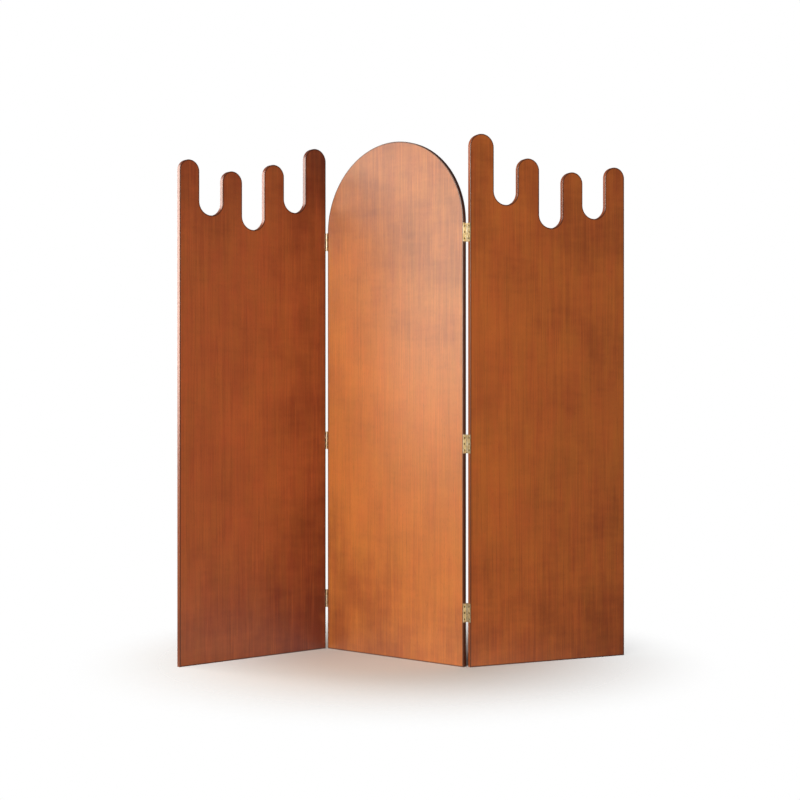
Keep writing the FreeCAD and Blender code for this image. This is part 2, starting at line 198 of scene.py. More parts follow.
# %% [markdown]
# ## Studio
# The boards are seen on white: a pale floor that fades into a white surround, so that no horizon
# shows behind them and little light bounces up at their feet. A picture of a studio wrapped round
# the scene could light it, but three soft boxes are easier to aim. A low, wide one at the left lays
# the pale sheen on the centre board's varnish. One at the front, left of the camera and above it,
# is the main light of all three boards. The third stands behind at the left and brightens the edges
# that look left. The right side is left dark, so that the outer boards stay deep in colour.

# %% Floor
FLOOR_RADIUS = 12.0
FLOOR_SIDES = 128
FLOOR_SOLID = 0.2
FLOOR_GONE = 1.15

bpy.ops.mesh.primitive_circle_add(vertices=FLOOR_SIDES, radius=FLOOR_RADIUS, fill_type="NGON",
                                  location=(0, 0, 0))
floor = bpy.context.object
floor.name = "floor"
floor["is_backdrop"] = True

# Matt pale paint: it shows the soft shadow near the boards, and fades to clear further out.
floor_material, tree = new_material("pale_studio_floor")
distance = add(tree, "ShaderNodeVectorMath", {"operation": "LENGTH"},
               {0: add(tree, "ShaderNodeTexCoord").outputs["Object"]})
fade = add(tree, "ShaderNodeMapRange", {"interpolation_type": "SMOOTHSTEP"},
           {"Value": distance.outputs["Value"], "From Min": FLOOR_SOLID, "From Max": FLOOR_GONE})
paint = add(tree, "ShaderNodeBsdfDiffuse", None, {"Color": colour("#EEECE9")})
clear = add(tree, "ShaderNodeBsdfTransparent")
mixed = add(tree, "ShaderNodeMixShader", None,
            {0: fade.outputs["Result"], 1: paint.outputs["BSDF"], 2: clear.outputs["BSDF"]})
add(tree, "ShaderNodeOutputMaterial", None, {"Surface": mixed.outputs["Shader"]})
floor.data.materials.append(floor_material)
print("floor fades out between", FLOOR_SOLID, "and", FLOOR_GONE, "m")

# %% Soft boxes
SCREEN_MIDDLE = Vector((0, 0, PANEL_HEIGHT / 2))
# Place, width and height in metres, power in watts, and tint.
SOFT_BOXES = {
    "left_soft_box": ((-4.0, -1.6, 1.75), 4.6, 1.9, 104, "#FFF4E0"),
    "front_soft_box": ((-2.3, -5.6, 3.4), 3.0, 2.4, 300, "#FFF8F0"),
    "edge_soft_box": ((-3.9, 1.35, 2.1), 1.4, 3.0, 64, "#FFEFE6"),
}


def soft_box(name, place, width, height, watts, tint):
    """A rectangular area light that looks at the middle of the screen."""
    light = bpy.data.lights.new(name, "AREA")
    light.shape = "RECTANGLE"
    light.size = width
    light.size_y = height
    light.energy = watts
    light.color = colour(tint)[:3]
    lamp = bpy.data.objects.new(name, light)
    lamp.location = place
    lamp.rotation_euler = (SCREEN_MIDDLE - Vector(place)).to_track_quat("-Z", "Y").to_euler()
    bpy.context.scene.collection.objects.link(lamp)


for name, settings in SOFT_BOXES.items():
    soft_box(name, *settings)

# %% Surround
SURROUND_SEEN = 1.0
SURROUND_GLOW = 0.08

world = bpy.data.worlds.new("white_surround")
bpy.context.scene.world = world
world.use_nodes = True
tree = world.node_tree
tree.nodes.clear()
# The camera sees plain white, and only a faint glow of it falls on the boards.
seen = add(tree, "ShaderNodeLightPath").outputs["Is Camera Ray"]
strength = add(tree, "ShaderNodeMapRange", None,
               {"Value": seen, "To Min": SURROUND_GLOW, "To Max": SURROUND_SEEN})
surround = add(tree, "ShaderNodeBackground", None,
               {"Color": colour("#FFFFFF"), "Strength": strength.outputs["Result"]})
add(tree, "ShaderNodeOutputWorld", None, {"Surface": surround.outputs["Background"]})
bpy.context.scene.view_settings.view_transform = "Standard"
print("surround: seen at", SURROUND_SEEN, "and glowing at", SURROUND_GLOW)

# %% [markdown]
# ## Boards
# Each board is sawn from one flat sheet, its edges are rounded over and its face is veneered, so a
# flat outline with a thickness is all it needs. The outline could be typed in as a list of points,
# but it is easier to read as a joiner marks it out: half circles, joined by straight uprights. A
# circle is added for every finger and slot, half of it is deleted, and the loose ends are joined.
# The face is filled and extruded by the thickness, and a bevel rounds over both arrises.

# %% Selecting
def select_only(piece):
    """Makes a piece the active and only selected object, for the operators that follow."""
    bpy.ops.object.select_all(action="DESELECT")
    bpy.context.view_layer.objects.active = piece
    piece.select_set(True)


def choose(kind, test):
    """In edit mode, selects the vertices, edges or faces that pass a test, and nothing else."""
    bpy.ops.mesh.select_mode(type=kind)
    bpy.ops.mesh.select_all(action="DESELECT")
    mesh = bmesh.from_edit_mesh(bpy.context.edit_object.data)
    for item in {"VERT": mesh.verts, "EDGE": mesh.edges, "FACE": mesh.faces}[kind]:
        if test(item):
            item.select_set(True)
    bmesh.update_edit_mesh(bpy.context.edit_object.data)


def lies_on(item, axis, level):
    """True if all the vertices of an edge or face lie on one level of an axis."""
    return all(abs(vertex.co[axis] - level) < TINY for vertex in item.verts)


def start_piece(name):
    """A new empty mesh object in edit mode, alone in the selection."""
    piece = bpy.data.objects.new(name, bpy.data.meshes.new(name))
    bpy.context.scene.collection.objects.link(piece)
    select_only(piece)
    bpy.ops.object.mode_set(mode="EDIT")
    return piece


print("vertices are chosen by place, to within", TINY / MM, "mm")

# %% Half circles
QUARTER_TURN = math.radians(90)
ARC_STEPS = 48
ARCH_STEPS = 120


def half_round(middle_x, middle_z, radius, upper, steps):
    """Adds half a circle on the board's face: the upper half over a finger, the lower in a slot."""
    bpy.ops.mesh.select_all(action="DESELECT")
    bpy.ops.mesh.primitive_circle_add(vertices=2 * steps, radius=radius,
                                      location=(middle_x, 0, middle_z),
                                      rotation=(QUARTER_TURN, 0, 0))
    side = 1 if upper else -1
    mesh = bmesh.from_edit_mesh(bpy.context.edit_object.data)
    for vertex in mesh.verts:
        vertex.select_set(vertex.select and side * (vertex.co.z - middle_z) < -TINY)
    bpy.ops.mesh.delete(type="VERT")


def arch_rounds():
    """The one half circle of the centre board, as wide as the board."""
    radius = PANEL_WIDTH / 2
    return [(radius, PANEL_HEIGHT - radius, radius, True, ARCH_STEPS)]


def finger_rounds(mirrored):
    """The half circles of an outer board, with the tall finger at the right unless mirrored."""
    rounds = []
    x = 0
    for number, width in enumerate(FINGER_WIDTHS):
        radius = width / 2
        finger_top = PANEL_HEIGHT - FINGER_DROPS[number]
        rounds.append((x + radius, finger_top - radius, radius, True, ARC_STEPS))
        x += width
        if number < len(SLOT_DEPTHS):
            radius = SLOT_WIDTH / 2
            slot_floor = PANEL_HEIGHT - SLOT_DEPTHS[number]
            rounds.append((x + radius, slot_floor + radius, radius, False, ARC_STEPS))
            x += SLOT_WIDTH
    if mirrored:
        rounds = [(PANEL_WIDTH - middle_x, *rest) for middle_x, *rest in reversed(rounds)]
    return rounds


print("half circles on an outer board:", len(finger_rounds(mirrored=False)))

# %% Marking out, sawing and rounding over
ARRIS_STEPS = 6
RIM = 3 * MM


def mark_out(rounds):
    """Joins the half circles with uprights, runs both sides to the floor and fills the face."""
    for one in rounds:
        half_round(*one)
    for middle_x, _, radius, *_ in rounds[:-1]:
        border = middle_x + radius
        choose("VERT", lambda vertex: abs(vertex.co.x - border) < TINY)
        bpy.ops.mesh.edge_face_add()
    for border, end in ((0, rounds[0]), (PANEL_WIDTH, rounds[-1])):
        choose("VERT", lambda vertex: abs(vertex.co.x - border) < TINY)
        bpy.ops.mesh.extrude_region_move(TRANSFORM_OT_translate={"value": (0, 0, -end[1])})
    choose("VERT", lambda vertex: abs(vertex.co.z) < TINY)
    bpy.ops.mesh.edge_face_add()
    bpy.ops.mesh.select_all(action="SELECT")
    bpy.ops.mesh.edge_face_add()


def give_thickness():
    """Extrudes the filled face to the back of the board and turns all faces outwards."""
    bpy.ops.mesh.select_all(action="SELECT")
    bpy.ops.mesh.extrude_region_move(TRANSFORM_OT_translate={"value": (0, THICKNESS, 0)})
    bpy.ops.mesh.select_all(action="SELECT")
    bpy.ops.mesh.normals_make_consistent(inside=False)


def round_over():
    """Rounds the arris all round the front and the back, and sets off a narrow rim on each face."""
    choose("EDGE", lambda edge: lies_on(edge, 1, 0) or lies_on(edge, 1, THICKNESS))
    bpy.ops.mesh.bevel(offset=ARRIS, segments=ARRIS_STEPS, profile=0.5, affect="EDGES",
                       clamp_overlap=False, loop_slide=False)
    choose("FACE", lambda face: lies_on(face, 1, 0) or lies_on(face, 1, THICKNESS))
    bpy.ops.mesh.inset(thickness=RIM, use_even_offset=True)


def make_board(name, rounds):
    """A whole board from its half circles, still flat to the axes."""
    board = start_piece(name)
    mark_out(rounds)
    give_thickness()
    round_over()
    bpy.ops.object.mode_set(mode="OBJECT")
    print(name, len(board.data.polygons), "faces")
    return board


boards = {
    "centre": make_board("centre_board", arch_rounds()),
    "left": make_board("left_board", finger_rounds(mirrored=False)),
    "right": make_board("right_board", finger_rounds(mirrored=True)),
}

# %% [markdown]
# ## Gains for the hinges
# Each hinge leaf lies flush in a shallow gain, chiselled across the edge of the board, and its
# screws go into drilled holes. The gains could be modelled face by face, but a chisel and a drill
# take wood away, and so does a Boolean modifier: blocks for the gains and then rods for the holes
# are subtracted from the board and thrown away.

# %% Hinge places on an edge
HINGE_LENGTH = 63.5 * MM
LEAF_THICKNESS = 1.5 * MM
SCREW_PITCH = 21 * MM
SCREW_SPOTS = (-SCREW_PITCH, 0, SCREW_PITCH)
SCREW_LENGTH = 16 * MM
SCREW_HOLE_RADIUS = 1.85 * MM
HINGE_LEVELS = ("top", "middle", "bottom")


def middle_height(node):
    """The height of the middle of a piece of the construction model."""
    low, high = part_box(node)
    return (low.z + high.z) / 2


HINGE_HEIGHTS = {level: middle_height(f"left_{level}_hinge_pin") for level in HINGE_LEVELS}
print("hinge heights:", {level: round(height, 4) for level, height in HINGE_HEIGHTS.items()})

# %% Chiselling and drilling
CUT_PAST = 2 * MM
BOARD_HOLE_SIDES = 24
# The edges of each board that carry hinges: where, and which way is into the wood.
HINGED_EDGES = {
    "centre": [(0, 1), (PANEL_WIDTH, -1)],
    "left": [(PANEL_WIDTH, -1)],
    "right": [(0, 1)],
}


def apply_modifier(piece, kind, **options):
    """Adds a modifier to a piece, sets its options and applies it."""
    select_only(piece)
    modifier = piece.modifiers.new(kind.lower(), kind)
    for name, value in options.items():
        setattr(modifier, name, value)
    bpy.ops.object.modifier_apply(modifier=modifier.name)


def cut_away(piece, cutter):
    """Subtracts a cutter from a piece and removes the cutter."""
    apply_modifier(piece, "BOOLEAN", operation="DIFFERENCE", solver="EXACT", object=cutter)
    bpy.data.objects.remove(cutter)


def gain_blocks(edge_x, inward):
    """A block for each gain on one edge of a board, as deep as a leaf is thick."""
    blocks = start_piece("gain_blocks")
    depth = LEAF_THICKNESS + CUT_PAST
    middle_x = edge_x + inward * (LEAF_THICKNESS - depth / 2)
    for height in HINGE_HEIGHTS.values():
        bpy.ops.mesh.primitive_cube_add(size=1, location=(middle_x, THICKNESS / 2, height),
                                        scale=(depth, THICKNESS + 2 * CUT_PAST, HINGE_LENGTH))
    bpy.ops.object.mode_set(mode="OBJECT")
    return blocks


def screw_rods(edge_x, inward):
    """A rod for each screw hole on one edge of a board."""
    rods = start_piece("screw_rods")
    length = SCREW_LENGTH + CUT_PAST
    middle_x = edge_x + inward * (SCREW_LENGTH - length / 2)
    for height in HINGE_HEIGHTS.values():
        for spot in SCREW_SPOTS:
            bpy.ops.mesh.primitive_cylinder_add(
                vertices=BOARD_HOLE_SIDES, radius=SCREW_HOLE_RADIUS, depth=length,
                location=(middle_x, THICKNESS / 2, height + spot), rotation=(0, QUARTER_TURN, 0))
    bpy.ops.object.mode_set(mode="OBJECT")
    return rods


for name, edges in HINGED_EDGES.items():
    for edge_x, inward in edges:
        cut_away(boards[name], gain_blocks(edge_x, inward))
        cut_away(boards[name], screw_rods(edge_x, inward))
    print(boards[name].name, len(boards[name].data.polygons), "faces with its gains")

# %% [markdown]
# ## Standing the boards up
# The boards were modelled flat to the axes, which is easy to measure. Now each is turned and moved
# to its place, and the place is applied to the mesh, so that the object itself stays at the origin.
# Smooth shading with weighted normals keeps the broad faces flat and the round arris soft. A value
# on each vertex tells edge from face: sawn edges drink more stain than the face does, and their
# darker colour is partly painted shade.

# %% Edge mark
FLAT = 0.999
RIM_VALUE = 0.3


def edge_value(vertex):
    """0 inside a face, RIM_VALUE where the face meets the arris, rising over the arris to 1."""
    if all(abs(face.normal.y) > FLAT for face in vertex.link_faces):
        return 0.0
    depth = min(vertex.co.y, THICKNESS - vertex.co.y)
    return RIM_VALUE + (1 - RIM_VALUE) * min(1.0, depth / ARRIS)


def mark_edges(board):
    """Writes how near each vertex is to an edge of its board, for the wood to read."""
    mesh = bmesh.new()
    mesh.from_mesh(board.data)
    values = [edge_value(vertex) for vertex in mesh.verts]
    mesh.free()
    mark = board.data.attributes.new("edge", "FLOAT", "POINT")
    mark.data.foreach_set("value", values)


for board in boards.values():
    mark_edges(board)
    print(board.name, len(board.data.vertices), "vertices marked")

# %% Place and smooth shading
BOARD_SHARP = 35
BOARD_NODES = {"centre": "centre_panel", "left": "left_panel", "right": "right_panel"}


def smooth(piece, degrees):
    """Smooth shading that stops at sharp edges and keeps large faces flat."""
    select_only(piece)
    bpy.ops.object.shade_smooth_by_angle(angle=math.radians(degrees))
    apply_modifier(piece, "WEIGHTED_NORMAL", keep_sharp=True, weight=100)


def set_place(piece, place):
    """Moves a piece and applies the move to its mesh."""
    select_only(piece)
    piece.matrix_world = place
    bpy.ops.object.transform_apply(location=True, rotation=True, scale=True)


for name, board in boards.items():
    set_place(board, BOARD_PLACES[name])
    smooth(board, BOARD_SHARP)
    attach(board, name)
    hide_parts(BOARD_NODES[name])
    low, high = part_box(BOARD_NODES[name])
    print(name, "place off by", round((Vector(board.bound_box[0]) - low).length / MM, 3), "mm")

# %% [markdown]
# ## Hinge leaves
# A butt hinge is stamped from sheet brass: one long edge of each leaf is cut into tongues, and
# every tongue is rolled round the pin into a knuckle. The knuckles of one leaf fit between those of
# the other. Blender can follow the same steps. A flat plate is cut across at the ends of the
# knuckles, its tongues are extruded towards the pin, set back a little, and spun round it, which
# leaves the fine seam that a real rolled knuckle has. A tube joined to a plate would be quicker,
# but it would have no seam. The hinge is drawn about its own pin: the pin is the Z axis and the
# leaf hangs towards -Y.

# %% Sizes of a hinge
KNUCKLES = 5
KNUCKLE_LENGTH = HINGE_LENGTH / KNUCKLES
KNUCKLE_GAP = 0.3 * MM
BORE_RADIUS = 1.55 * MM
KNUCKLE_RADIUS = BORE_RADIUS + LEAF_THICKNESS
NOTCH_ROOM = 0.4 * MM
NOTCH_REACH = KNUCKLE_RADIUS + NOTCH_ROOM
LEAF_SHORT_BY = 0.5 * MM
LEAF_REACH = PIN_OFFSET + THICKNESS - LEAF_SHORT_BY
LEAF_MIDDLE_X = -HALF_GAP - LEAF_THICKNESS / 2
SCREW_LINE = PIN_OFFSET + THICKNESS / 2
LEAF_KNUCKLES = {"centre": [0, 2, 4], "outer": [1, 3]}


def notch_ends(number):
    """Bottom and top of the notch that one knuckle of the other leaf turns in."""
    bottom = number * KNUCKLE_LENGTH - HINGE_LENGTH / 2
    return bottom - KNUCKLE_GAP / 2, bottom + KNUCKLE_LENGTH + KNUCKLE_GAP / 2


print("knuckle", round(KNUCKLE_LENGTH / MM, 2), "by", round(2 * KNUCKLE_RADIUS / MM, 2), "mm")

# %% Rolling a leaf
ROLL_ANGLE = math.radians(285)
ROLL_STEPS = 44
# A tongue bends back onto the knuckle circle in two steps: share of the way along, and back.
SET_BACK_STEPS = ((0.4, 0.6), (0.6, 0.4))


def flat_plate(own_knuckles):
    """The plate up to the notches, cut across wherever a tongue starts or ends."""
    depth = LEAF_REACH - NOTCH_REACH
    bpy.ops.mesh.primitive_cube_add(
        size=1, location=(LEAF_MIDDLE_X, -NOTCH_REACH - depth / 2, 0),
        scale=(LEAF_THICKNESS, depth, HINGE_LENGTH))
    for number in range(KNUCKLES):
        if number not in own_knuckles:
            for level in notch_ends(number):
                bpy.ops.mesh.select_all(action="SELECT")
                bpy.ops.mesh.bisect(plane_co=(0, 0, level), plane_no=(0, 0, 1))


def roll_tongues(own_knuckles):
    """Extrudes the tongues to the pin, sets them back onto its knuckle circle and rolls them up."""
    def on_tongue(face):
        number = int((face.calc_center_median().z + HINGE_LENGTH / 2) // KNUCKLE_LENGTH)
        return lies_on(face, 1, -NOTCH_REACH) and number in own_knuckles

    set_back = KNUCKLE_RADIUS - HALF_GAP - LEAF_THICKNESS
    choose("FACE", on_tongue)
    for share_along, share_back in SET_BACK_STEPS:
        step = (-share_back * set_back, share_along * NOTCH_REACH, 0)
        bpy.ops.mesh.extrude_region_move(TRANSFORM_OT_translate={"value": step})
    bpy.ops.mesh.spin(steps=ROLL_STEPS, angle=ROLL_ANGLE, center=(0, 0, 0), axis=(0, 0, 1))
    bpy.ops.mesh.select_all(action="SELECT")
    bpy.ops.mesh.remove_doubles(threshold=TINY)
    bpy.ops.mesh.normals_make_consistent(inside=False)


print("a tongue is rolled by", round(math.degrees(ROLL_ANGLE)), "degrees")

# %% Countersinking a leaf
HEAD_RADIUS = 3.1 * MM
HEAD_ROOM = 0.05 * MM
COUNTERSINK_RADIUS = HEAD_RADIUS + HEAD_ROOM
COUNTERSINK_DEPTH = COUNTERSINK_RADIUS - SCREW_HOLE_RADIUS
CONE_PAST = 0.5 * MM
LEAF_HOLE_SIDES = 48
LEAF_ARRIS = 0.2 * MM
BRASS_SHARP = 40


def hole_rods():
    """Rods that drill the three screw holes of a leaf."""
    rods = start_piece("hole_rods")
    for spot in SCREW_SPOTS:
        bpy.ops.mesh.primitive_cylinder_add(
            vertices=LEAF_HOLE_SIDES, radius=SCREW_HOLE_RADIUS, depth=2 * CUT_PAST,
            location=(LEAF_MIDDLE_X, -SCREW_LINE, spot), rotation=(0, QUARTER_TURN, 0))
    bpy.ops.object.mode_set(mode="OBJECT")
    return rods


def countersink_cones():
    """Cones that widen the holes, drawn past the face and past the rim of the hole."""
    cones = start_piece("countersink_cones")
    length = COUNTERSINK_DEPTH + 2 * CONE_PAST
    middle_x = -HALF_GAP + CONE_PAST - length / 2
    for spot in SCREW_SPOTS:
        bpy.ops.mesh.primitive_cone_add(
            vertices=LEAF_HOLE_SIDES, radius1=SCREW_HOLE_RADIUS - CONE_PAST,
            radius2=COUNTERSINK_RADIUS + CONE_PAST, depth=length,
            location=(middle_x, -SCREW_LINE, spot), rotation=(0, QUARTER_TURN, 0))
    bpy.ops.object.mode_set(mode="OBJECT")
    return cones


def make_leaf(name, own_knuckles):
    """A leaf with its rolled knuckles and its countersunk holes, about the pin."""
    leaf = start_piece(name)
    flat_plate(own_knuckles)
    roll_tongues(own_knuckles)
    bpy.ops.object.mode_set(mode="OBJECT")
    apply_modifier(leaf, "BEVEL", width=LEAF_ARRIS, segments=2, limit_method="ANGLE",
                   angle_limit=math.radians(BRASS_SHARP), use_clamp_overlap=True)
    cut_away(leaf, hole_rods())
    cut_away(leaf, countersink_cones())
    print(name, len(leaf.data.polygons), "faces")
    return leaf


leaf_patterns = {}
for kind, own_knuckles in LEAF_KNUCKLES.items():
    leaf_patterns[kind] = make_leaf(f"{kind}_leaf_pattern", own_knuckles)

# %% [markdown]
# ## Screws
# A countersunk wood screw is turned from rod: a head like a cone, a plain neck and a point. It
# could be put together from a cone and two cylinders, but then hidden faces would stay inside. So
# it is drawn as the lathe does it, from one circle that is extruded and drawn in, and a cross for
# the driver is cut into the head. No two screws are driven home at the same angle, so each in a row
# is turned by its own amount.

# %% One screw
SCREW_SIDES = 32
LEAF_BELOW_HEAD = 0.2 * MM
HEAD_HEIGHT = LEAF_THICKNESS - LEAF_BELOW_HEAD
NECK_RADIUS = HEAD_RADIUS - HEAD_HEIGHT
POINT_LENGTH = 5 * MM
POINT_RADIUS = 0.2 * MM
CROSS_WIDTH = 0.8 * MM
CROSS_DEPTH = 0.9 * MM
CROSS_SPAN = 3.6 * MM
SCREW_ARRIS = 0.08 * MM


def turn_down(length, shrink):
    """Extrudes the end of the screw along -X and draws it in about the screw's own line."""
    bpy.ops.mesh.extrude_region_move(TRANSFORM_OT_translate={"value": (-length, 0, 0)})
    bpy.ops.transform.resize(value=(1, shrink, shrink), center_override=(0, 0, 0))


def cross_bar(width, height):
    """One bar of the driver's cross, half of it sunk into the head."""
    bar = start_piece("cross_bar")
    bpy.ops.mesh.primitive_cube_add(size=1, location=(0, 0, 0),
                                    scale=(2 * CROSS_DEPTH, width, height))
    bpy.ops.object.mode_set(mode="OBJECT")
    return bar


def make_screw():
    """One screw, with the top of its head at the origin and its point along -X."""
    screw = start_piece("screw_pattern")
    bpy.ops.mesh.primitive_circle_add(vertices=SCREW_SIDES, radius=HEAD_RADIUS, fill_type="NGON",
                                      rotation=(0, QUARTER_TURN, 0))
    turn_down(HEAD_HEIGHT, NECK_RADIUS / HEAD_RADIUS)
    turn_down(SCREW_LENGTH - HEAD_HEIGHT - POINT_LENGTH, 1)
    turn_down(POINT_LENGTH, POINT_RADIUS / NECK_RADIUS)
    bpy.ops.mesh.select_all(action="SELECT")
    bpy.ops.mesh.normals_make_consistent(inside=False)
    bpy.ops.object.mode_set(mode="OBJECT")
    cut_away(screw, cross_bar(CROSS_SPAN, CROSS_WIDTH))
    cut_away(screw, cross_bar(CROSS_WIDTH, CROSS_SPAN))
    apply_modifier(screw, "BEVEL", width=SCREW_ARRIS, segments=2, limit_method="ANGLE",
                   angle_limit=math.radians(BRASS_SHARP))
    print("screw", len(screw.data.polygons), "faces")
    return screw


screw_pattern = make_screw()

# %% Copies and rows
def copy_of(pattern, name):
    """A copy with a mesh of its own."""
    copy = pattern.copy()
    copy.data = pattern.data.copy()
    copy.name = name
    copy.data.name = name
    bpy.context.scene.collection.objects.link(copy)
    return copy


def screw_row(name, driven):
    """The three screws of a leaf as one piece, seated in its countersinks."""
    row = []
    for number, spot in enumerate(SCREW_SPOTS, 1):
        screw = copy_of(screw_pattern, f"{name}_{number}")
        seat = Matrix.Translation((-HALF_GAP, -SCREW_LINE, spot))
        set_place(screw, seat @ Matrix.Rotation(driven.uniform(0, QUARTER_TURN), 4, "X"))
        row.append(screw)
    select_only(row[0])
    for screw in row[1:]:
        screw.select_set(True)
    bpy.ops.object.join()
    row[0].name = name
    row[0].data.name = name
    return row[0]


print("screws in a row:", len(SCREW_SPOTS))

# %% [markdown]
# ## Fitting the hinges
# The near fold has its pins behind the boards and the far fold has them in front, so that the three
# boards close like a letter. Left and right leaves could be modelled apart, but a leaf turned end
# over end serves the board across the pin. Each copy takes over from the piece of the construction
# model that it stands for, and rides with its board.

# %% Fitting
HALF_TURNS = {axis: Matrix.Rotation(math.pi, 4, axis) for axis in "XYZ"}
# The pin of each fold, the turn of its outer board, and the flips of the centre and outer leaves.
FOLDS = {
    "left": (left_pin, left_turn, HALF_TURNS["Z"], HALF_TURNS["X"]),
    "right": (right_pin, right_turn, Matrix.Identity(4), HALF_TURNS["Y"]),
}
DRIVEN_SEED = 7
driven = random.Random(DRIVEN_SEED)


def fit(piece, place, body, node):
    """Puts a hinge piece in its place, with the body it rides on and the node it stands for."""
    set_place(piece, place)
    smooth(piece, BRASS_SHARP)
    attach(piece, body)
    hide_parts(node)


hinge_leaves = []
hinge_screws = []
for fold, (pin, outer_turn, centre_flip, outer_flip) in FOLDS.items():
    sides = {
        "centre": (centre_turn, centre_flip, "centre"),
        "outer": (outer_turn, outer_flip, fold),
    }
    for level, height in HINGE_HEIGHTS.items():
        at_pin = Matrix.Translation((pin.x, pin.y, height))
        for kind, (turn, flip, body) in sides.items():
            place = at_pin @ Matrix.Rotation(turn, 4, "Z") @ flip
            leaf = copy_of(leaf_patterns[kind], f"{fold}_{level}_{kind}_leaf")
            fit(leaf, place, body, f"{fold}_{level}_hinge_{kind}_leaf")
            screws = screw_row(f"{fold}_{level}_{kind}_screws", driven)
            fit(screws, place, body, f"{fold}_{level}_hinge_{kind}_screws")
            hinge_leaves.append(leaf)
            hinge_screws.append(screws)
for pattern in (*leaf_patterns.values(), screw_pattern):
    bpy.data.objects.remove(pattern)
print(len(hinge_leaves), "leaves and", len(hinge_screws), "rows of screws fitted")

# %% [markdown]
# ## Wood
# The boards look like cherry: fine straight grain that runs up the board, stained red-brown and
# varnished to a satin sheen. Stain soaks in unevenly, so the colour drifts in clouds a hand's width
# across, a little warmer here and cooler there. Painted shade darkens the foot, the head and one
# side of a board. The sawn edges are darker still, partly from stain and partly as painted shade.
# Fine lines in the grain take up more or less of the stain. Wood has a grain in depth too, so every
# pattern is a solid noise, drawn out along the height of the board: faces and edges show long
# streaks and the round tops show end grain. A picture of wood could be wrapped round the board
# instead, but its edges would never meet.

# %% Patterns in the veneer
# Width across the grain and length along it, then detail and roughness of the noise. Real pores are
# a tenth as wide. They are drawn coarser than life, because finer ones wouldn't show in the render.
VENEER = {
    "clouds": (170 * MM, 190 * MM, 4.0, 0.55),
    "mottle": (90 * MM, 26 * MM, 2.0, 0.55),
    "streaks": (26 * MM, 700 * MM, 3.0, 0.55),
    "grain": (8 * MM, 110 * MM, 4.0, 0.6),
    "lines": (11 * MM, 900 * MM, 2.0, 0.55),
    "pores": (0.9 * MM, 16 * MM, 1.0, 0.55),
    "drift": (45 * MM, 150 * MM, 2.0, 0.55),
}
# A seed moves its noise along each axis by this many times itself, so that no two are alike.
SEED_SHIFT = (1.0, 1.7, 0.6)


def patterns_in(tree, coords, sizes, seed):
    """A noise for each pattern, by name, with its blots as wide and as long as the sizes say."""
    patterns = {}
    for number, (name, (width, length, detail, roughness)) in enumerate(sizes.items()):
        shift = [(seed + number) * share for share in SEED_SHIFT]
        stretched = add(tree, "ShaderNodeMapping", None,
                        {"Vector": coords, "Scale": (1 / width, 1 / width, 1 / length),
                         "Location": shift})
        noise = add(tree, "ShaderNodeTexNoise", {"noise_dimensions": "3D"},
                    {"Vector": stretched.outputs["Vector"], "Scale": 1.0, "Detail": detail,
                     "Roughness": roughness})
        patterns[name] = noise.outputs["Fac"]
    return patterns


def weighted_sum(tree, patterns, weights):
    """A sum of patterns, each times its weight, whose middle value is a half as theirs is."""
    total = 0.5 - 0.5 * sum(weights.values())
    for name, weight in weights.items():
        total = add(tree, "ShaderNodeMath", {"operation": "MULTIPLY_ADD"},
                    {0: patterns[name], 1: weight, 2: total}).outputs[0]
    return total


print("veneer patterns:", ", ".join(VENEER))

# %% Painted shade at the foot, the head and one side
FOOT_SHADE = 1.3
HEAD_SHADE_REACH = 620 * MM
SIDE_SHADE_START = 0.5 * PANEL_WIDTH


def painted_shade_by_place(tree, board, slant, foot_shade_reach, side_shade, head_shade):
    """How much painted shade darkens the foot, one side and the head of a board.

    The shade at the foot and at the head lies on a slant across the board.
    """
    spot = add(tree, "ShaderNodeSeparateXYZ", None, {"Vector": board})
    level = add(tree, "ShaderNodeMath", {"operation": "MULTIPLY_ADD"},
                {0: spot.outputs["X"], 1: slant, 2: spot.outputs["Z"]}).outputs[0]
    # Painted shade: darker towards the foot, along one side and towards the head.
    shade_sum = 0.0
    for value, start, end, amount in (
            (level, foot_shade_reach, 0, FOOT_SHADE),
            (spot.outputs["X"], SIDE_SHADE_START, PANEL_WIDTH, side_shade),
            (level, PANEL_HEIGHT - HEAD_SHADE_REACH, PANEL_HEIGHT, head_shade)):
        rise = add(tree, "ShaderNodeMapRange", {"interpolation_type": "SMOOTHSTEP"},
                   {"Value": value, "From Min": start, "From Max": end})
        shade_sum = add(tree, "ShaderNodeMath", {"operation": "MULTIPLY_ADD"},
                    {0: rise.outputs["Result"], 1: amount, 2: shade_sum}).outputs[0]
    return shade_sum


# The painted shade at the head of a board reaches this far down.
print("stain at the head reaches", round(HEAD_SHADE_REACH / MM), "mm down")

# %% Colour of the stain
STAIN_DARK = "#7A2C0C"
PORE_DARK = "#5C260F"
EDGE_STAIN_AND_SHADE = "#3A1608"
TONE_WEIGHTS = {"clouds": 0.5, "mottle": 0.15, "streaks": 0.16, "grain": 0.17}
# How much deeper the tone is for each measure of painted shade.
SHADE_DEPTH = 0.16
# The hue node leaves a colour as it is at a half, and drifts as little as this to either side.
HUE_AS_IS = 0.5
HUE_DRIFT = 0.0035
# Most of a noise lies between these two values.
NOISE_LOW = 0.3
NOISE_HIGH = 0.7


def shade(hue, factor):
    """A linear colour made darker or lighter."""
    return [factor * channel for channel in hue[:3]] + [1]


def grey(level):
    """A stop for a ramp that is a mask."""
    return [level, level, level, 1]


